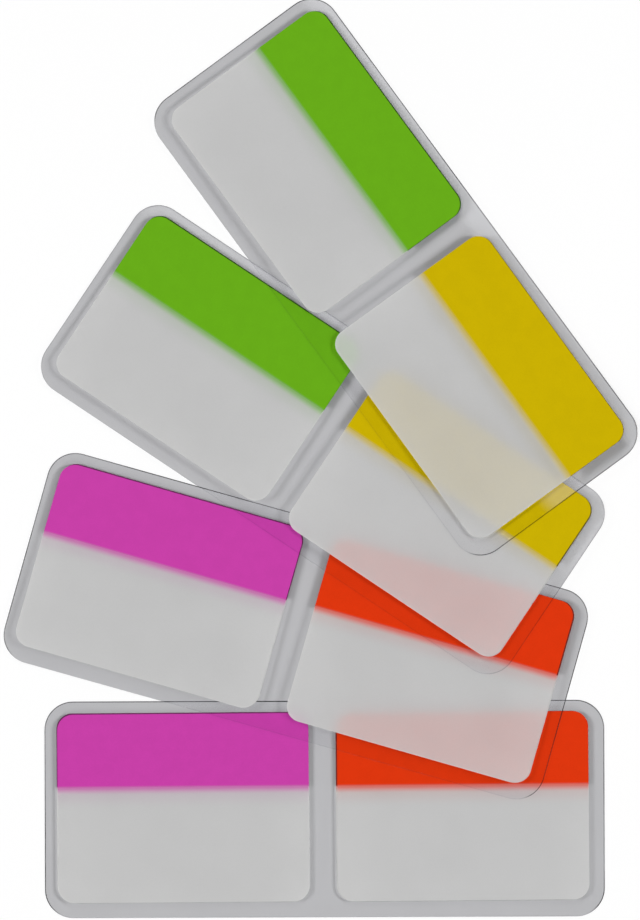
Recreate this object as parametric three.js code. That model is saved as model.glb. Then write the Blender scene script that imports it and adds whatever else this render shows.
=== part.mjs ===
import * as THREE from "three";

// Sticky index tabs on four clear carrier cards, which lie fanned out on a table.
// Lengths are in millimetres. Turns are in degrees, counter-clockwise seen from above.
// X runs along the bottom card, Y across it towards its coloured ends, and Z up from the table.
// The origin is the middle of the bottom card's underside.

// A tab is a frosted film with a field of colour printed over its writing end.
const tabLength = 50.8;
const tabWidth = 38.1;
const tabCorner = 3.2;
const tabFilm = 0.11;
const printWidth = 14.7;
const printThickness = 0.02;
const printBond = 0.005;

// A pad is a few tabs, each stuck to the one below by its adhesive.
const tabsInPad = 3;
const adhesive = 0.02;

// A card holds two pads side by side, with a clear margin around them.
const padGap = 5.8;
const leftMargin = 2.6;
const rightMargin = 3.2;
const headMargin = 2.35;
const footMargin = 3.35;
const cardFilm = 0.25;
const cardCorner = 5.8;

// A card lies this far clear of the pads and the table that carry it.
const restClearance = 0.03;

// Each corner is rounded in twice this many steps.
const cornerSteps = 5;

// Sizes that follow from those above.
const cardLength = leftMargin + 2 * tabLength + padGap + rightMargin;
const cardWidth = headMargin + tabWidth + footMargin;
const tabPitch = tabFilm + printBond + printThickness + adhesive;
const padHeight = tabsInPad * tabPitch;
const padHead = cardWidth / 2 - headMargin;
const padCentre = {
  left: -cardLength / 2 + leftMargin + tabLength / 2,
  right: cardLength / 2 - rightMargin - tabLength / 2,
};

// The fan, from the bottom card up. Slide and lap place a card on the one below: it is moved
// along that card by slide, and its foot laps over that card's head by lap before it is turned.
// The pads sit a little askew, as stuck down by hand: along and across move a pad, turn turns it,
// and slip is how far each sheet below the top one has crept from the sheet above it.
const fan = [
  {
    slide: 0, lap: 0, turn: 0,
    left: { colour: "violet", along: 0.05, across: -0.2, turn: 0.25, slip: [-0.08, 0.12] },
    right: { colour: "orange", along: 0, across: 0, turn: 0.3, slip: [-0.14, 0.02] },
  },
  {
    slide: -5.7, lap: 6.8, turn: -15.85,
    left: { colour: "violet", along: -0.2, across: -0.2, turn: -0.3, slip: [0.1, 0.12] },
    right: { colour: "orange", along: 0, across: 0, turn: -0.3, slip: [0.14, 0.03] },
  },
  {
    slide: -4.9, lap: 6, turn: -18.1,
    left: { colour: "green", along: 0.1, across: 0.1, turn: 0.15, slip: [0.02, 0.13] },
    right: { colour: "yellow", along: 0, across: 0.1, turn: 0, slip: [0.12, 0.03] },
  },
  {
    slide: -6, lap: 8.3, turn: -20,
    left: { colour: "green", along: 0.3, across: 0.2, turn: 0, slip: [0.05, 0.12] },
    right: { colour: "yellow", along: -0.1, across: -0.1, turn: -0.3, slip: [0.04, 0.06] },
  },
];

const materials = {
  clear: film(0xe6e6ea, 0.2, 0.35),
  frosted: film(0xd9d9d8, 0.6, 0.85),
  violet: print(0xc840a8),
  orange: print(0xde360c),
  green: print(0x68ac18),
  yellow: print(0xcab000),
};

function film(color, roughness, opacity) {
  return new THREE.MeshStandardMaterial({
    color, roughness, opacity, metalness: 0, transparent: true,
  });
}

function print(color) {
  return new THREE.MeshStandardMaterial({ color, roughness: 0.55, metalness: 0 });
}

// A rectangle between two corners, with its head corners rounded and its foot corners too.
function roundedOutline(left, foot, right, head, headRadius, footRadius) {
  const quarter = Math.PI / 2;
  const corners = [
    [right - footRadius, foot + footRadius, footRadius, -quarter],
    [right - headRadius, head - headRadius, headRadius, 0],
    [left + headRadius, head - headRadius, headRadius, quarter],
    [left + footRadius, foot + footRadius, footRadius, 2 * quarter],
  ];
  const outline = new THREE.Shape();
  outline.moveTo(left + footRadius, foot);
  for (const [x, y, radius, start] of corners) {
    if (radius > 0) {
      outline.absarc(x, y, radius, start, start + quarter);
    } else {
      outline.lineTo(x, y);
    }
  }
  return outline;
}

function plate(outline, thickness) {
  return new THREE.ExtrudeGeometry(outline, {
    depth: thickness,
    bevelEnabled: false,
    curveSegments: cornerSteps,
  });
}

const x = tabLength / 2;
const y = tabWidth / 2;
const cardOutline = roundedOutline(
  -cardLength / 2, -cardWidth / 2, cardLength / 2, cardWidth / 2, cardCorner, cardCorner,
);
const tabOutline = roundedOutline(-x, -y, x, y, tabCorner, tabCorner);
const printOutline = roundedOutline(-x, y - printWidth, x, y, tabCorner, 0);

const cardPlate = plate(cardOutline, cardFilm);
const tabPlate = plate(tabOutline, tabFilm);
const printPlate = plate(printOutline, printThickness);

function named(name, geometry, material) {
  const mesh = new THREE.Mesh(geometry, material);
  mesh.name = name;
  return mesh;
}

// One tab, with its underside at z = 0.
function makeTab(name, colour) {
  const tab = new THREE.Group();
  const field = named(`${name}_print`, printPlate, materials[colour]);
  field.position.z = tabFilm + printBond;
  tab.add(named(name, tabPlate, materials.frosted), field);
  return tab;
}

// A pad of tabs, numbered from the lowest. The top one lies where the pad is placed.
function makePad(name, { colour, slip }) {
  const pad = new THREE.Group();
  for (let level = 0; level < tabsInPad; level += 1) {
    const tab = makeTab(`${name}_tab_${level + 1}`, colour);
    const below = tabsInPad - 1 - level;
    tab.position.set(slip[0] * below, slip[1] * below, adhesive + level * tabPitch);
    pad.add(tab);
  }
  return pad;
}

// A carrier card with its two pads, with its underside at z = 0.
function makeCard(number, place) {
  const card = new THREE.Group();
  card.add(named(`carrier_card_${number}`, cardPlate, materials.clear));
  for (const side of ["left", "right"]) {
    const spot = place[side];
    const pad = makePad(`card_${number}_${side}`, spot);
    pad.position.x = padCentre[side] + spot.along;
    pad.position.y = padHead - tabWidth / 2 + spot.across;
    pad.position.z = cardFilm;
    pad.rotation.z = THREE.MathUtils.degToRad(spot.turn);
    card.add(pad);
  }
  return card;
}

// The slope of a card that leans on the line from one point to another and has come down
// behind that line until the first point of its rim meets the table.
function restingSlope(from, to, rim) {
  const span = new THREE.Vector2(to.x - from.x, to.y - from.y);
  const along = span.clone().normalize();
  const behind = new THREE.Vector2(-along.y, along.x);
  const rise = (to.z - from.z) / span.length();
  let fall = Infinity;
  for (const point of rim) {
    const offset = point.clone().sub(from);
    const distance = offset.dot(behind);
    if (distance > 0) {
      const height = from.z + rise * offset.dot(along) - restClearance;
      fall = Math.min(fall, height / distance);
    }
  }
  return along.multiplyScalar(rise).addScaledVector(behind, -fall);
}

// Lays a card on the head edges of the pads of the card below.
function restOn(card, centre, heading, lower) {
  const top = cardFilm + padHeight + restClearance;
  const from = lower.localToWorld(new THREE.Vector3(-cardLength / 2, padHead, top));
  const to = lower.localToWorld(new THREE.Vector3(cardLength / 2, padHead, top));
  const middle = new THREE.Vector2();
  const rim = cardOutline.getPoints(cornerSteps).map(
    (point) => point.rotateAround(middle, heading).add(centre),
  );
  const slope = restingSlope(from, to, rim);
  const height = from.z + slope.dot(centre.clone().sub(from));
  const lengthwise = new THREE.Vector3(Math.cos(heading), Math.sin(heading), 0);
  const up = new THREE.Vector3(-slope.x, -slope.y, 1).normalize();
  const crosswise = up.clone().cross(lengthwise).normalize();
  lengthwise.crossVectors(crosswise, up);
  card.position.set(centre.x, centre.y, height);
  card.setRotationFromMatrix(new THREE.Matrix4().makeBasis(lengthwise, crosswise, up));
}

const fannedTabs = new THREE.Group();
const centre = new THREE.Vector2();
let heading = 0;
let lower = null;
fan.forEach((place, index) => {
  const card = makeCard(index + 1, place);
  if (lower) {
    const step = new THREE.Vector2(place.slide, cardWidth - place.lap);
    centre.add(step.rotateAround(new THREE.Vector2(), heading));
    heading += THREE.MathUtils.degToRad(place.turn);
    restOn(card, centre, heading, lower);
  }
  card.updateMatrixWorld();
  fannedTabs.add(card);
  lower = card;
});

export default fannedTabs;
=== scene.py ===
"""Dresses the fanned index tabs: clear carrier cards, frosted tabs and their printed writing ends."""
import logging
import math
from dataclasses import dataclass, field
from enum import Enum

import bmesh
import bpy
from mathutils import Matrix, Vector


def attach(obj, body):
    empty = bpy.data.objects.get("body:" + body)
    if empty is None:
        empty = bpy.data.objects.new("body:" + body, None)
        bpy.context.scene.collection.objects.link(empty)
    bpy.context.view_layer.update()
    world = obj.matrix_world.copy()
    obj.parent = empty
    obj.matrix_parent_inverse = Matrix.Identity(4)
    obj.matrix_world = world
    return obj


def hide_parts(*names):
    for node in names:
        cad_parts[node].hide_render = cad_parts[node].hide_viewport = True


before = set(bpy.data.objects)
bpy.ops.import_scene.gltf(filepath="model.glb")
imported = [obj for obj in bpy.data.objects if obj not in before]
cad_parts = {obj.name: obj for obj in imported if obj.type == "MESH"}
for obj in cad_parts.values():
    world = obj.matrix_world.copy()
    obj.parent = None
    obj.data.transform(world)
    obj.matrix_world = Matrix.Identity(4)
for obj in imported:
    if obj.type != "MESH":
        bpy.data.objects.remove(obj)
log = logging.getLogger("index_tabs")

MM = 0.001
SHEET = "sheet_mm"
# A face whose normal leans out of the sheet's plane by less than this is part of its rim.
UPRIGHT = 0.1
# How far the print's foot lies from the foot edge of its tab, in millimetres.
PRINT_FOOT = 23.4
# Film is clear enough to be drawn almost without refraction, so that nothing behind it shifts.
FILM_IOR = 1.02


def linear(hex_colour: str) -> tuple[float, float, float, float]:
    """Turns an sRGB hex colour into linear values.

    Args:
        hex_colour: Six hex digits, such as "c840a8".

    Returns:
        Red, green, blue and an alpha of 1.
    """
    values = []
    for start in (0, 2, 4):
        value = int(hex_colour[start:start + 2], 16) / 255
        values.append(value / 12.92 if value <= 0.04045 else ((value + 0.055) / 1.055) ** 2.4)
    return (*values, 1.0)


def add_node(
    tree: bpy.types.NodeTree, kind: str, inputs: dict | None = None, **settings: object
) -> bpy.types.Node:
    """Adds one node with its settings and its inputs.

    Args:
        tree: The node tree that gets it.
        kind: The node's type name.
        inputs: Socket name or number to a value, or to the socket that feeds it.
        **settings: The node's own properties.

    Returns:
        The new node.
    """
    made = tree.nodes.new(kind)
    for name, value in settings.items():
        setattr(made, name, value)
    for key, value in (inputs or {}).items():
        if isinstance(value, bpy.types.NodeSocket):
            tree.links.new(value, made.inputs[key])
        else:
            made.inputs[key].default_value = value
    return made


def new_material(name: str) -> bpy.types.Material:
    """Makes an empty node material.

    Args:
        name: What it is called, after the real material.

    Returns:
        The material, with no nodes.
    """
    material = bpy.data.materials.new(name)
    material.use_nodes = True
    material.node_tree.nodes.clear()
    return material


@dataclass(frozen=True)
class SheetPlace:
    """Where a shaded point is on its sheet, in millimetres."""

    tree: bpy.types.NodeTree
    point: bpy.types.NodeSocket
    along: bpy.types.NodeSocket
    up: bpy.types.NodeSocket

    @classmethod
    def read(cls, tree: bpy.types.NodeTree) -> "SheetPlace":
        """Reads the place that geometry nodes stored on the mesh.

        Args:
            tree: The material's node tree.

        Returns:
            The place, which runs along the sheet from its middle and up from its foot edge.
        """
        point = add_node(tree, "ShaderNodeAttribute", attribute_name=SHEET).outputs["Vector"]
        axes = add_node(tree, "ShaderNodeSeparateXYZ", {0: point})
        return cls(tree, point, axes.outputs["X"], axes.outputs["Y"])

    def grain(self, size: float, low: float, high: float) -> bpy.types.NodeSocket:
        """Gives an irregular value that varies over the sheet.

        Args:
            size: The size of a patch, in millimetres.
            low: The value of a dark patch.
            high: The value of a light patch.

        Returns:
            The socket that carries it.
        """
        noise = add_node(self.tree, "ShaderNodeTexNoise", {
            "Vector": self.point, "Scale": 1 / size, "Detail": 2.0,
        })
        return ramp(self.tree, noise.outputs[0], (0.3, 0.7), (low, high))

    def relief(self, size: float, height: float) -> bpy.types.NodeSocket:
        """Gives a normal with fine unevenness.

        Args:
            size: The size of a bump along the sheet, in millimetres.
            height: Its height, in metres.

        Returns:
            The socket that carries the normal.
        """
        bump = add_node(self.tree, "ShaderNodeBump", {
            "Height": self.grain(size, 0.0, 1.0), "Distance": height,
        })
        return bump.outputs[0]


def ramp(
    tree: bpy.types.NodeTree, value: bpy.types.NodeSocket,
    span: tuple[float, float], result: tuple[float, float],
) -> bpy.types.NodeSocket:
    """Turns one span of values smoothly into another.

    Args:
        tree: The node tree.
        value: The socket with the value.
        span: Where the change starts and ends.
        result: What the value becomes at the two ends of the span, and beyond them.

    Returns:
        The socket with the result.
    """
    made = add_node(tree, "ShaderNodeMapRange", {
        "Value": value, "From Min": span[0], "From Max": span[1],
        "To Min": result[0], "To Max": result[1],
    }, interpolation_type="SMOOTHSTEP")
    return made.outputs[0]


def reckon(tree: bpy.types.NodeTree, operation: str, *values: object) -> bpy.types.NodeSocket:
    """Works out one sum of numbers or sockets."""
    return add_node(tree, "ShaderNodeMath", dict(enumerate(values)), operation=operation).outputs[0]


def scaled(tree: bpy.types.NodeTree, colour: object, share: object) -> bpy.types.NodeSocket:
    """Makes a colour lighter or darker.

    Args:
        tree: The node tree.
        colour: A socket, or a colour from linear().
        share: A socket or number that it is multiplied by.

    Returns:
        The socket with the new colour.
    """
    first = colour if isinstance(colour, bpy.types.NodeSocket) else colour[:3]
    made = add_node(tree, "ShaderNodeVectorMath", {0: first, "Scale": share}, operation="SCALE")
    return made.outputs[0]


def blend(
    tree: bpy.types.NodeTree, share: bpy.types.NodeSocket, first: object, second: object
) -> bpy.types.NodeSocket:
    """Mixes two colours.

    Args:
        tree: The node tree.
        share: The share of the second colour.
        first: A socket or a colour.
        second: A socket or a colour.

    Returns:
        The socket with the mixed colour.
    """
    made = add_node(tree, "ShaderNodeMix", {0: share, 6: first, 7: second}, data_type="RGBA")
    return made.outputs[2]


def mix_shaders(tree: bpy.types.NodeTree, share: object, *shaders: object) -> object:
    """Mixes two shaders by the share of the second."""
    inputs = {0: share, 1: shaders[0], 2: shaders[1]}
    return add_node(tree, "ShaderNodeMixShader", inputs).outputs[0]


def finish_film(tree: bpy.types.NodeTree, seen: bpy.types.NodeSocket, shade: str) -> None:
    """Ends the material of a film, which is worked out at its outer faces only.

    Light on its way to whatever lies under the film passes straight through, a little weaker.

    Args:
        tree: The material's node tree.
        seen: The shader that the camera sees.
        shade: The share of the light that passes, as an sRGB colour.
    """
    path = add_node(tree, "ShaderNodeLightPath").outputs
    geometry = add_node(tree, "ShaderNodeNewGeometry").outputs
    passing = add_node(tree, "ShaderNodeBsdfTransparent", {"Color": linear(shade)}).outputs[0]
    lighting = reckon(tree, "MAXIMUM", path["Is Shadow Ray"], path["Is Diffuse Ray"])
    outside = mix_shaders(tree, lighting, seen, passing)
    inside = add_node(tree, "ShaderNodeBsdfTransparent").outputs[0]
    whole = mix_shaders(tree, geometry["Backfacing"], outside, inside)
    add_node(tree, "ShaderNodeOutputMaterial", {"Surface": whole})


class Ink(Enum):
    """The printed colours, as sRGB."""

    VIOLET = "c840a8"
    ORANGE = "de360c"
    GREEN = "68ac18"
    YELLOW = "cab000"


@dataclass(frozen=True)
class ClearFilm:
    """Clear polyester film, calendered smooth: hardly tinted, with a soft and wavy gloss."""

    name: str = "clear_polyester_film"
    tint: str = "fefeff"
    shade: str = "fdfdfe"
    roughness: float = 0.08
    gloss_ior: float = 1.5
    wave: float = 14.0
    wave_height: float = 0.02 * MM
    wave_tone: float = 0.975
    # The sheen is a painted highlight: white diffuse mixed in at one spot and along the head.
    painted_sheen_colour: str = "f4f4f8"
    sheen: tuple[float, float] | None = None
    painted_sheen_reach: float = 6.0
    painted_sheen_share: float = 0.12
    painted_head_sheen_share: float = 0.0
    painted_head_sheen_reach: tuple[float, float] = (38.5, 41.5)

    def material(self) -> bpy.types.Material:
        """Builds the material.

        Returns:
            Refraction that shows what lies under the film, with the gloss of a smooth surface
            and a painted highlight: where the film catches the light, a whitish sheen painted in.
        """
        material = new_material(self.name)
        tree = material.node_tree
        place = SheetPlace.read(tree)
        normal = place.relief(self.wave, self.wave_height)
        gloss_share = add_node(tree, "ShaderNodeFresnel", {"IOR": self.gloss_ior}).outputs[0]
        through = add_node(tree, "ShaderNodeBsdfRefraction", {
            "Color": scaled(tree, linear(self.tint), place.grain(self.wave, self.wave_tone, 1.0)),
            "Roughness": 0.0,
            "IOR": FILM_IOR,
        }).outputs[0]
        gloss = add_node(tree, "ShaderNodeBsdfGlossy", {
            "Roughness": self.roughness, "Normal": normal,
        }).outputs[0]
        seen = mix_shaders(tree, gloss_share, through, gloss)
        # Painted highlight: a whitish sheen mixed into what the camera sees.
        if self.sheen:
            white = add_node(tree, "ShaderNodeBsdfDiffuse", {"Color": linear(self.painted_sheen_colour)})
            seen = mix_shaders(tree, self._sheen(place), seen, white.outputs[0])
        finish_film(tree, seen, self.shade)
        return material

    def _sheen(self, place: SheetPlace) -> bpy.types.NodeSocket:
        """Gives the share of the painted sheen, a painted highlight strongest at one spot of the
        sheet and along its head.

        Args:
            place: The place on the sheet.

        Returns:
            The socket that carries the share.
        """
        spot = add_node(place.tree, "ShaderNodeCombineXYZ", {0: place.along, 1: place.up})
        distance = add_node(place.tree, "ShaderNodeVectorMath", {
            0: spot.outputs[0], 1: (*self.sheen, 0.0),
        }, operation="DISTANCE")
        reach = (self.painted_sheen_reach * 0.4, self.painted_sheen_reach)
        painted_spot_sheen_share = ramp(place.tree, distance.outputs["Value"], reach, (self.painted_sheen_share, 0.0))
        painted_head_sheen_share = ramp(place.tree, place.up, self.painted_head_sheen_reach, (0.0, self.painted_head_sheen_share))
        return reckon(place.tree, "MAXIMUM", painted_spot_sheen_share, painted_head_sheen_share)


@dataclass(frozen=True)
class FrostedFilm:
    """Frosted film with a satin face that takes a pen: it hides what is under it but for a tint."""

    ink: Ink
    colour: str = "d3d3d2"
    passed: float = 0.34
    passed_at_print: float = 0.08
    passed_colour: str = "fafafa"
    shade: str = "f9f9f9"
    roughness: float = 0.55
    bleed: float = 2.0
    bleed_share: float = 0.85
    # Reach and share of a painted glow of the ink's coloured light on the film below the print.
    painted_ink_glow: float = 4.5
    painted_ink_glow_share: float = 0.22
    grain_size: float = 0.35
    grain_height: float = 0.004 * MM
    cloud_size: float = 11.0
    # Distances from the middle and from the foot, over which painted light makes the film paler.
    end_reach: tuple[float, float] = (15.0, 25.4)
    foot_reach: tuple[float, float] = (0.0, 7.0)
    # Distances below the print, over which painted shade makes it darker.
    near_print: tuple[float, float] = (6.0, 0.5)
    scatter: float = 1.1

    def material(self) -> bpy.types.Material:
        """Builds the material.

        Returns:
            A satin face that scatters part of the light back, and a blurred share of what lies
            underneath. Next to the print the film takes on the ink's colour: a soft edge of the print
            and, further out, a painted glow of its coloured light.
        """
        material = new_material(f"frosted_film_with_{self.ink.name.lower()}_end")
        tree = material.node_tree
        place = SheetPlace.read(tree)
        face = add_node(tree, "ShaderNodeBsdfPrincipled", {
            "Base Color": self._colour(place),
            "Roughness": self.roughness,
            "Normal": place.relief(self.grain_size, self.grain_height),
        }).outputs[0]
        through = add_node(tree, "ShaderNodeBsdfTranslucent", {
            "Color": linear(self.passed_colour), "Normal": self._scattered(place),
        }).outputs[0]
        edge = (PRINT_FOOT - self.bleed, PRINT_FOOT)
        passed = ramp(tree, place.up, edge, (self.passed, self.passed_at_print))
        finish_film(tree, mix_shaders(tree, passed, face, through), self.shade)
        return material

    def _colour(self, place: SheetPlace) -> bpy.types.NodeSocket:
        """Gives the film's own colour.

        Args:
            place: The place on the sheet.

        Returns:
            A grain as fine as the frosting and soft clouds, with painted light that makes it paler
            towards the cut ends and the foot, and painted shade that darkens it for a few millimetres
            next to the print.
        """
        tree = place.tree
        grain = place.grain(self.grain_size, 0.99, 1.01)
        cloud = place.grain(self.cloud_size, 0.985, 1.015)
        from_middle = reckon(tree, "ABSOLUTE", place.along)
        # Painted light: paler towards the cut ends and the foot.
        ends = ramp(tree, from_middle, self.end_reach, (1.0, 1.05))
        lower = ramp(tree, place.up, self.foot_reach, (1.03, 1.0))
        # Painted shade: darker for a few millimetres below the print.
        shaded = tuple(PRINT_FOOT - distance for distance in self.near_print)
        painted_print_shade = ramp(tree, place.up, shaded, (1.0, 0.975))
        tone = grain
        for share in (cloud, ends, lower, painted_print_shade):
            tone = reckon(tree, "MULTIPLY", tone, share)
        # The print's soft edge, and further out a painted glow of its coloured light.
        edge = ramp(tree, place.up, (PRINT_FOOT - self.bleed, PRINT_FOOT), (0.0, self.bleed_share))
        painted_ink_glow = ramp(tree, place.up, (PRINT_FOOT - self.painted_ink_glow, PRINT_FOOT), (0.0, self.painted_ink_glow_share))
        inked = reckon(tree, "MAXIMUM", edge, painted_ink_glow)
        plain = scaled(tree, linear(self.colour), tone)
        return blend(tree, inked, plain, linear(self.ink.value))

    def _scattered(self, place: SheetPlace) -> bpy.types.NodeSocket:
        """Tips the normal at random, so that what lies underneath shows widely blurred.

        Args:
            place: The place on the sheet.

        Returns:
            The socket that carries the normal.
        """
        tree = place.tree
        finely = 997.0
        pick = add_node(tree, "ShaderNodeTexWhiteNoise", {
            "Vector": scaled(tree, place.point, finely),
        }, noise_dimensions="3D")
        centred = add_node(tree, "ShaderNodeVectorMath", {
            0: pick.outputs["Color"], 1: (0.5, 0.5, 0.5),
        }, operation="SUBTRACT")
        tip = scaled(tree, centred.outputs[0], 2 * self.scatter)
        normal = add_node(tree, "ShaderNodeNewGeometry").outputs["Normal"]
        tipped = add_node(tree, "ShaderNodeVectorMath", {0: normal, 1: tip}, operation="ADD")
        made = add_node(tree, "ShaderNodeVectorMath", {0: tipped.outputs[0]}, operation="NORMALIZE")
        return made.outputs[0]


@dataclass(frozen=True)
class InkCoat:
    """Opaque screen-printed ink, satin, with a faint mottle and a soft edge where it ends."""

    ink: Ink
    film: str = "b0b0af"
    roughness: float = 0.4
    gloss: float = 0.08
    mottle_size: float = 2.6
    grain_size: float = 0.3
    grain_height: float = 0.002 * MM
    fade: float = 0.35
    fade_share: float = 0.2

    def material(self) -> bpy.types.Material:
        """Builds the material.

        Returns:
            The ink's colour with its mottle, thinning to the film's colour at the print's foot.
        """
        material = new_material(f"{self.ink.name.lower()}_screen_ink")
        tree = material.node_tree
        place = SheetPlace.read(tree)
        mottle = place.grain(self.mottle_size, 0.985, 1.015)
        grain = place.grain(self.grain_size, 0.985, 1.015)
        full = scaled(tree, linear(self.ink.value), reckon(tree, "MULTIPLY", mottle, grain))
        thin = ramp(tree, place.up, (0.0, self.fade), (self.fade_share, 0.0))
        face = add_node(tree, "ShaderNodeBsdfPrincipled", {
            "Base Color": blend(tree, thin, full, linear(self.film)),
            "Roughness": self.roughness,
            "Specular IOR Level": self.gloss,
            "Normal": place.relief(self.grain_size, self.grain_height),
        })
        add_node(tree, "ShaderNodeOutputMaterial", {"Surface": face.outputs[0]})
        return material


@dataclass(frozen=True)
class ClearEdge:
    """The cut rim of the clear film, which bends the light away; its dark line is painted shade in
    the rim's colour.
    """

    name: str = "cut_edge_of_clear_film"
    # The darkest and palest colours of the painted shade line.
    dark: str = "2c2c2e"
    light: str = "f2f2f4"
    shade: str = "f0f0f2"
    patch: float = 16.0
    patch_lightness: float = 0.35
    foot_reach: tuple[float, float] = (0.3, 2.5)
    gloss_share: float = 0.03
    roughness: float = 0.25

    def material(self) -> bpy.types.Material:
        """Builds the material.

        Returns:
            Refraction that darkens what lies under the rim with a painted shade line, more in some
            places than in others and not at all along the foot edge, where the film lies on a lower
            card.
        """
        material = new_material(self.name)
        tree = material.node_tree
        place = SheetPlace.read(tree)
        patches = place.grain(self.patch, 0.0, self.patch_lightness)
        foot = ramp(tree, place.up, self.foot_reach, (1.0, 0.0))
        lightness = reckon(tree, "MAXIMUM", patches, foot)
        through = add_node(tree, "ShaderNodeBsdfRefraction", {
            "Color": blend(tree, lightness, linear(self.dark), linear(self.light)),
            "Roughness": 0.0,
            "IOR": FILM_IOR,
        }).outputs[0]
        gloss = add_node(tree, "ShaderNodeBsdfGlossy", {"Roughness": self.roughness}).outputs[0]
        seen = mix_shaders(tree, self.gloss_share, through, gloss)
        finish_film(tree, seen, self.shade)
        return material


@dataclass(frozen=True)
class FrostedEdge:
    """The cut rim of a frosted film: pale, and where ink lies over it, the ink's colour in painted
    shade.
    """

    ink: Ink
    colour: str = "dededc"
    ink_share: float = 0.35
    roughness: float = 0.5
    grain_size: float = 1.5
    soft: float = 0.3

    def material(self) -> bpy.types.Material:
        """Builds the material.

        Returns:
            The film's pale cut, which turns to the ink's colour, darkened as painted shade, along the
            printed end.
        """
        material = new_material(f"cut_edge_of_{self.ink.name.lower()}_tab")
        tree = material.node_tree
        place = SheetPlace.read(tree)
        # Painted shade: along the printed end the rim takes a darkened tone of the ink.
        inked = ramp(tree, place.up, (PRINT_FOOT - self.soft, PRINT_FOOT), (0.0, 1.0))
        ink_in_painted_shade = scaled(tree, linear(self.ink.value), self.ink_share)
        pale = scaled(tree, linear(self.colour), place.grain(self.grain_size, 0.94, 1.0))
        face = add_node(tree, "ShaderNodeBsdfPrincipled", {
            "Base Color": blend(tree, inked, pale, ink_in_painted_shade), "Roughness": self.roughness,
        })
        add_node(tree, "ShaderNodeOutputMaterial", {"Surface": face.outputs[0]})
        return material


@dataclass(frozen=True)
class InkEdge:
    """The rim of a lower tab's ink, which peeks out from under the tab on it, darkened as painted
    shade into a dark line.
    """

    ink: Ink
    # The share of the ink's colour left under the painted shade.
    share: float = 0.32
    roughness: float = 0.5
    grain_size: float = 1.5

    def material(self) -> bpy.types.Material:
        """Builds the material.

        Returns:
            The ink's colour darkened as painted shade, a little unevenly along the edge.
        """
        material = new_material(f"{self.ink.name.lower()}_ink_edge")
        tree = material.node_tree
        place = SheetPlace.read(tree)
        depth = place.grain(self.grain_size, self.share * 0.8, self.share * 1.2)
        face = add_node(tree, "ShaderNodeBsdfPrincipled", {
            "Base Color": scaled(tree, linear(self.ink.value), depth), "Roughness": self.roughness,
        })
        add_node(tree, "ShaderNodeOutputMaterial", {"Surface": face.outputs[0]})
        return material


@dataclass(frozen=True)
class Seat:
    """Where a flat sheet lies and how large it is, in metres."""

    length: float
    width: float
    thickness: float
    place: Matrix

    @classmethod
    def of_node(cls, name: str) -> "Seat":
        """Reads a sheet's size and place from its solid.

        Args:
            name: The node's name.

        Returns:
            The seat, with its origin under the middle of the sheet's foot edge, X along the
            sheet, Y towards its head and Z up through it.
        """
        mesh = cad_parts[name].data
        faces = sorted(mesh.polygons, key=lambda face: face.area, reverse=True)
        up = faces[0].normal.copy()
        if up.z < 0:
            up.negate()
        sides = (face for face in faces if abs(face.normal.dot(up)) < UPRIGHT)
        head = next(sides).normal.copy()
        head = (head - up * head.dot(up)).normalized()
        along = head.cross(up)
        if along.x < 0:
            along.negate()
            head.negate()
        spans = []
        for axis in (along, head, up):
            reach = [vertex.co.dot(axis) for vertex in mesh.vertices]
            spans.append((min(reach), max(reach)))
        middle = sum(spans[0]) / 2
        origin = along * middle + head * spans[1][0] + up * spans[2][0]
        place = Matrix((along, head, up)).transposed().to_4x4()
        place.translation = origin
        sizes = (high - low for low, high in spans)
        return cls(*sizes, place)


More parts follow.
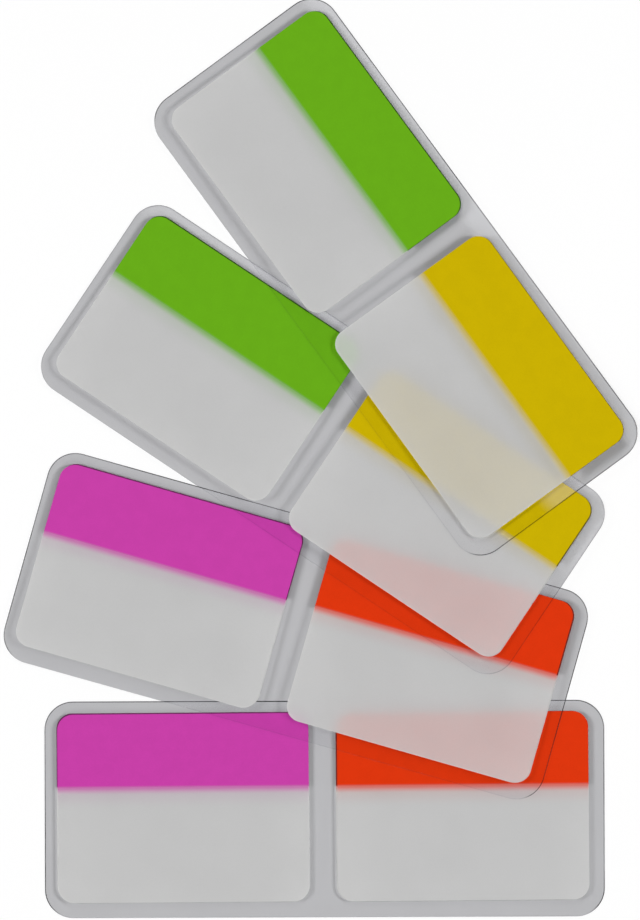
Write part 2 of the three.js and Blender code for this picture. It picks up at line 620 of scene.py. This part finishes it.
class SheetTree:
    """Geometry nodes that make one flat sheet with rounded corners."""

    INPUTS = ("Length", "Width", "Thickness", "Head Radius", "Foot Radius", "Seed")
    STEPS = 16
    WELD = 0.001 * MM

    def __init__(self) -> None:
        """Builds the tree."""
        self.tree = bpy.data.node_groups.new("rounded_sheet", "GeometryNodeTree")
        face = self.tree.interface
        for name in self.INPUTS:
            face.new_socket(name, in_out="INPUT", socket_type="NodeSocketFloat")
        face.new_socket("Material", in_out="INPUT", socket_type="NodeSocketMaterial")
        face.new_socket("Geometry", in_out="OUTPUT", socket_type="NodeSocketGeometry")
        sizes = add_node(self.tree, "NodeGroupInput").outputs
        self._finish(self._solid(self._outline(sizes), sizes), sizes)

    def _outline(self, sizes: object) -> bpy.types.NodeSocket:
        """Draws the outline, with its foot edge on the X axis.

        Args:
            sizes: The tree's inputs.

        Returns:
            The socket with the curve.
        """
        tree = self.tree
        box = add_node(tree, "GeometryNodeCurvePrimitiveQuadrilateral", {
            "Width": sizes["Length"], "Height": sizes["Width"],
        }, mode="RECTANGLE")
        height = add_node(tree, "ShaderNodeSeparateXYZ", {
            0: add_node(tree, "GeometryNodeInputPosition").outputs[0],
        })
        at_head = add_node(tree, "FunctionNodeCompare", {
            "A": height.outputs["Y"], "B": 0.0,
        }, data_type="FLOAT", operation="GREATER_THAN")
        radius = add_node(tree, "GeometryNodeSwitch", {
            "Switch": at_head.outputs[0],
            "False": sizes["Foot Radius"],
            "True": sizes["Head Radius"],
        }, input_type="FLOAT")
        rounded = add_node(tree, "GeometryNodeFilletCurve", {
            "Curve": box.outputs[0], "Count": self.STEPS, "Radius": radius.outputs[0],
        }, mode="POLY")
        half = add_node(tree, "ShaderNodeMath", {0: sizes["Width"], 1: 0.5}, operation="MULTIPLY")
        lift = add_node(tree, "ShaderNodeCombineXYZ", {"Y": half.outputs[0]})
        moved = add_node(tree, "GeometryNodeTransform", {
            "Geometry": rounded.outputs[0], "Translation": lift.outputs[0],
        })
        return moved.outputs[0]

    def _solid(self, outline: bpy.types.NodeSocket, sizes: object) -> bpy.types.NodeSocket:
        """Fills the outline and gives it its thickness.

        Args:
            outline: The socket with the curve.
            sizes: The tree's inputs.

        Returns:
            The socket with the closed solid.
        """
        tree = self.tree
        fill = add_node(tree, "GeometryNodeFillCurve", {"Curve": outline}, mode="NGONS")
        wall = add_node(tree, "GeometryNodeExtrudeMesh", {
            "Mesh": fill.outputs[0],
            "Offset": (0.0, 0.0, 1.0),
            "Offset Scale": sizes["Thickness"],
            "Individual": False,
        }, mode="FACES")
        under = add_node(tree, "GeometryNodeFlipFaces", {"Mesh": fill.outputs[0]})
        both = add_node(tree, "GeometryNodeJoinGeometry")
        for part in (wall.outputs["Mesh"], under.outputs[0]):
            tree.links.new(part, both.inputs[0])
        closed = add_node(tree, "GeometryNodeMergeByDistance", {
            "Geometry": both.outputs[0], "Distance": self.WELD,
        })
        return closed.outputs[0]

    def _finish(self, solid: bpy.types.NodeSocket, sizes: object) -> None:
        """Keeps each point's place on the sheet, in millimetres, and sets the material.

        Args:
            solid: The socket with the solid.
            sizes: The tree's inputs.
        """
        tree = self.tree
        in_mm = add_node(tree, "ShaderNodeVectorMath", {
            0: add_node(tree, "GeometryNodeInputPosition").outputs[0], "Scale": 1 / MM,
        }, operation="SCALE")
        depth = add_node(tree, "ShaderNodeCombineXYZ", {"Z": sizes["Seed"]})
        placed = add_node(tree, "ShaderNodeVectorMath", {
            0: in_mm.outputs[0], 1: depth.outputs[0],
        }, operation="ADD")
        kept = add_node(tree, "GeometryNodeStoreNamedAttribute", {
            "Geometry": solid, "Name": SHEET, "Value": placed.outputs[0],
        }, data_type="FLOAT_VECTOR", domain="POINT")
        real = add_node(tree, "GeometryNodeRealizeInstances", {0: kept.outputs[0]})
        dressed = add_node(tree, "GeometryNodeSetMaterial", {
            "Geometry": real.outputs[0], "Material": sizes["Material"],
        })
        add_node(tree, "NodeGroupOutput", {0: dressed.outputs[0]})

    def identifier(self, name: str) -> str:
        """Gives the identifier of a named input.

        Args:
            name: The input's name.

        Returns:
            The identifier, under which a modifier keeps the input's value.
        """
        return next(
            item.identifier for item in self.tree.interface.items_tree
            if item.name == name and item.in_out == "INPUT"
        )


@dataclass(frozen=True)
class Sheet:
    """One sheet of film or ink, made to the size of its solid and laid in its place."""

    SEED_STEP = 7000

    node: str
    slot: str
    face: bpy.types.Material
    rim: bpy.types.Material
    head_radius: float
    foot_radius: float
    bevel: float
    rim_band: float = 0.0
    glue: float = 0.0
    sharp: float = 60.0

    def build(self, tree: SheetTree) -> bpy.types.Object:
        """Makes the sheet.

        Args:
            tree: The geometry nodes that shape it.

        Returns:
            The finished piece, which stands for the solid.
        """
        seat = Seat.of_node(self.node)
        maker = bpy.data.objects.new("maker", bpy.data.meshes.new("maker"))
        bpy.context.scene.collection.objects.link(maker)
        shaper = maker.modifiers.new("shape", "NODES")
        shaper.node_group = tree.tree
        seed = seat.place.translation.length * self.SEED_STEP
        values = (
            seat.length, seat.width, seat.thickness + self.glue,
            self.head_radius, self.foot_radius, seed,
        )
        for name, value in zip(SheetTree.INPUTS, values):
            shaper[tree.identifier(name)] = value
        shaper[tree.identifier("Material")] = self.face
        round_over = maker.modifiers.new("round_over", "BEVEL")
        round_over.width = self.bevel
        round_over.segments = 2
        round_over.limit_method = "ANGLE"
        round_over.angle_limit = math.radians(self.sharp)
        shown = maker.evaluated_get(bpy.context.evaluated_depsgraph_get())
        mesh = bpy.data.meshes.new_from_object(shown)
        bpy.data.objects.remove(maker)
        mesh.name = f"dressed_{self.node}"
        mesh.materials.clear()
        mesh.materials.append(self.face)
        mesh.materials.append(self.rim)
        self._split(mesh)
        mesh.transform(seat.place @ Matrix.Translation((0, 0, -self.glue)))
        piece = bpy.data.objects.new(f"dressed_{self.node}", mesh)
        bpy.context.scene.collection.objects.link(piece)
        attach(piece, "root")
        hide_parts(self.node)
        return piece

    def _split(self, mesh: bpy.types.Mesh) -> None:
        """Gives the rim its own material, with a narrow band of the two flat faces.

        Args:
            mesh: The sheet's mesh, whose first material is the face's and second the rim's.
        """
        form = bmesh.new()
        form.from_mesh(mesh)
        flat = sorted(form.faces, key=lambda face: face.calc_area())[-2:]
        if self.rim_band:
            bmesh.ops.inset_individual(form, faces=flat, thickness=self.rim_band)
        for face in form.faces:
            face.material_index = 1
        for face in flat:
            face.material_index = 0
        form.to_mesh(mesh)
        form.free()


@dataclass(frozen=True)
class Finishes:
    """Every material of the set."""

    clear: dict[int, bpy.types.Material]
    clear_rim: dict[int, bpy.types.Material]
    frosted: dict[Ink, bpy.types.Material]
    frosted_rim: dict[Ink, bpy.types.Material]
    inks: dict[Ink, bpy.types.Material]
    ink_rims: dict[Ink, bpy.types.Material]

    @classmethod
    def make(cls) -> "Finishes":
        """Makes the materials.

        Returns:
            The materials, those of the clear film by the number of the card.
        """
        plain = ClearFilm().material()
        # Painted shade: each card's rim gets its own darkness of the painted line.
        darkest_painted_line_edge = ClearEdge().material()
        grey_painted_line_edge = ClearEdge("thin_cut_edge_of_clear_film", "626264").material()
        pale_painted_line_edge = ClearEdge("pale_cut_edge_of_clear_film", "d4d4d6").material()
        # Cards 3 and 4 get a painted sheen, a painted highlight at one spot and along the head.
        at_head = ClearFilm(
            "clear_film_with_sheen_at_head", sheen=(55.0, 38.0), painted_sheen_reach=17.0, painted_sheen_share=0.24,
            painted_head_sheen_share=0.18,
        )
        at_end = ClearFilm(
            "clear_film_with_sheen_at_end", sheen=(54.5, 23.5), painted_head_sheen_share=0.26,
        )
        return cls(
            clear={1: plain, 2: plain, 3: at_head.material(), 4: at_end.material()},
            clear_rim={1: darkest_painted_line_edge, 2: grey_painted_line_edge, 3: pale_painted_line_edge, 4: grey_painted_line_edge},
            frosted={ink: FrostedFilm(ink).material() for ink in Ink},
            frosted_rim={ink: FrostedEdge(ink).material() for ink in Ink},
            inks={ink: InkCoat(ink).material() for ink in Ink},
            ink_rims={ink: InkEdge(ink).material() for ink in Ink},
        )


@dataclass
class TabPad:
    """A pad of tabs stuck on top of one another."""

    name: str
    ink: Ink
    tabs: int = 3
    corner: float = 3.2 * MM
    film_bevel: float = 0.03 * MM
    glue: float = 0.018 * MM
    ink_bevel: float = 0.005 * MM
    # How much of a covered tab's ink, from its rim in, has the edge's painted shade.
    painted_shade_band: float = 0.2 * MM

    def build(self, tree: SheetTree, finishes: Finishes) -> list[bpy.types.Object]:
        """Makes every tab's film and printed field.

        Args:
            tree: The geometry nodes that shape a sheet.
            finishes: The materials.

        Returns:
            The pieces, from the lowest tab up.
        """
        pieces = []
        for level in range(1, self.tabs + 1):
            node = f"{self.name}_tab_{level}"
            film = Sheet(
                node, "frosted_film", finishes.frosted[self.ink], finishes.frosted_rim[self.ink],
                self.corner, self.corner, self.film_bevel, glue=self.glue,
            )
            covered = level < self.tabs
            colour = finishes.inks[self.ink]
            field_of_ink = Sheet(
                f"{node}_print", f"{self.ink.name.lower()}_print", colour,
                finishes.ink_rims[self.ink] if covered else colour,
                self.corner, 0.0, self.ink_bevel, self.painted_shade_band if covered else 0.0,
            )
            pieces += [film.build(tree), field_of_ink.build(tree)]
        return pieces


@dataclass
class CarrierCard:
    """A clear card with its two pads."""

    number: int
    left: Ink
    right: Ink
    corner: float = 5.8 * MM
    bevel: float = 0.11 * MM
    rim_band: float = 0.08 * MM

    def build(self, tree: SheetTree, finishes: Finishes) -> list[bpy.types.Object]:
        """Makes the card and its pads.

        Args:
            tree: The geometry nodes that shape a sheet.
            finishes: The materials.

        Returns:
            The pieces, the card's own film first.
        """
        card = Sheet(
            f"carrier_card_{self.number}", "clear_film",
            finishes.clear[self.number], finishes.clear_rim[self.number],
            self.corner, self.corner, self.bevel, self.rim_band,
        )
        pieces = [card.build(tree)]
        for side, ink in (("left", self.left), ("right", self.right)):
            pieces += TabPad(f"card_{self.number}_{side}", ink).build(tree, finishes)
        return pieces


@dataclass
class Studio:
    """The table, the lamps and the camera, which looks straight down."""

    view_height: float = 186.04 * MM
    view_centre: tuple[float, float] = (-0.69 * MM, 70.57 * MM)
    roll: float = -0.2
    lens: float = 200.0
    sensor: float = 24.0
    table_colour: str = "c0c0c1"
    lamp_size: float = 0.32
    lamp_distance: float = 1.1
    lamp_height: float = 0.66
    side_power: float = 7.3
    end_power: float = 2.1
    world_strength: float = 0.2
    # The height of a direction, 1 being straight up, over which the world goes dark.
    world_dims: tuple[float, float] = (0.78, 0.94)
    table_reach: float = 3.0
    table_drop: float = 0.01 * MM

    def build(self) -> None:
        """Sets everything up."""
        self._table()
        self._lamps()
        self._world()
        self._camera()

    def _table(self) -> None:
        """Lays the white table, which the camera sees as plain white outside the object."""
        reach = self.table_reach
        mesh = bpy.data.meshes.new("table")
        rim = [(-reach, -reach, 0), (reach, -reach, 0), (reach, reach, 0), (-reach, reach, 0)]
        mesh.from_pydata(rim, [], [(0, 1, 2, 3)])
        table = bpy.data.objects.new("table", mesh)
        table.location.z = -self.table_drop
        bpy.context.scene.collection.objects.link(table)
        material = new_material("white_table")
        tree = material.node_tree
        colour = linear(self.table_colour)
        path = add_node(tree, "ShaderNodeLightPath")
        surface = add_node(tree, "ShaderNodeBsdfDiffuse", {"Color": colour})
        # Only the camera sees white: in the photo the clear film shows the table grey, so rays
        # through it and off it don't get the white.
        lift = tuple(1 - value for value in colour[:3])
        glow = add_node(tree, "ShaderNodeEmission", {
            "Color": (*lift, 1.0), "Strength": path.outputs["Is Camera Ray"],
        })
        both = add_node(tree, "ShaderNodeAddShader", {0: surface.outputs[0], 1: glow.outputs[0]})
        add_node(tree, "ShaderNodeOutputMaterial", {"Surface": both.outputs[0]})
        mesh.materials.append(material)

    def _lamps(self) -> None:
        """Hangs four soft lamps round the object, away from where it mirrors the camera."""
        centre = Vector((*self.view_centre, 0))
        for turn in (0, 90, 180, 270):
            data = bpy.data.lights.new(f"lamp_{turn}", "AREA")
            data.shape = "SQUARE"
            data.size = self.lamp_size
            data.energy = self.end_power if turn % 180 else self.side_power
            lamp = bpy.data.objects.new(f"lamp_{turn}", data)
            bpy.context.scene.collection.objects.link(lamp)
            heading = math.radians(turn)
            towards = Vector((math.cos(heading), math.sin(heading), self.lamp_height)).normalized()
            lamp.location = centre + towards * self.lamp_distance
            lamp.rotation_euler = towards.to_track_quat("Z", "Y").to_euler()

    def _world(self) -> None:
        """Gives a dim light from all round, with none from overhead, where the films mirror it."""
        world = bpy.data.worlds.new("studio")
        world.use_nodes = True
        bpy.context.scene.world = world
        tree = world.node_tree
        tree.nodes.clear()
        path = add_node(tree, "ShaderNodeLightPath")
        direction = add_node(tree, "ShaderNodeTexCoord").outputs["Generated"]
        height = add_node(tree, "ShaderNodeSeparateXYZ", {0: direction}).outputs["Z"]
        room = add_node(tree, "ShaderNodeBackground", {
            "Color": linear("ffffff"),
            "Strength": ramp(tree, height, self.world_dims, (self.world_strength, 0.0)),
        })
        backdrop = add_node(tree, "ShaderNodeBackground", {
            "Color": linear("ffffff"), "Strength": 1.0,
        })
        both = add_node(tree, "ShaderNodeMixShader", {
            0: path.outputs["Is Camera Ray"], 1: room.outputs[0], 2: backdrop.outputs[0],
        })
        add_node(tree, "ShaderNodeOutputWorld", {"Surface": both.outputs[0]})

    def _camera(self) -> None:
        """Hangs the camera straight above the middle of the photograph's frame."""
        data = bpy.data.cameras.new("camera")
        data.sensor_fit = "VERTICAL"
        data.sensor_height = self.sensor
        data.lens = self.lens
        camera = bpy.data.objects.new("camera", data)
        bpy.context.scene.collection.objects.link(camera)
        camera.location = (*self.view_centre, self.view_height * self.lens / self.sensor)
        camera.rotation_euler = (0.0, 0.0, math.radians(self.roll))
        bpy.context.scene.camera = camera


@dataclass
class IndexTabs:
    """The fan of four cards."""

    cards: list[CarrierCard] = field(default_factory=lambda: [
        CarrierCard(1, Ink.VIOLET, Ink.ORANGE),
        CarrierCard(2, Ink.VIOLET, Ink.ORANGE),
        CarrierCard(3, Ink.GREEN, Ink.YELLOW),
        CarrierCard(4, Ink.GREEN, Ink.YELLOW),
    ])

    def build(self) -> None:
        """Makes the cards from the bottom one up."""
        tree = SheetTree()
        finishes = Finishes.make()
        for card in self.cards:
            for piece in card.build(tree, finishes):
                log.info("made %s", piece.name)


def main() -> None:
    """Builds the set and its surroundings."""
    logging.basicConfig(level=logging.INFO)
    scene = bpy.context.scene
    scene.view_settings.view_transform = "Standard"
    # Light crosses several cards and pads on its way, and each of their sheets has two faces.
    scene.cycles.transparent_max_bounces = 64
    scene.cycles.max_bounces = 24
    scene.cycles.transmission_bounces = 24
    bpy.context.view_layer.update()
    IndexTabs().build()
    Studio().build()


if __name__ == "__main__":
    main()
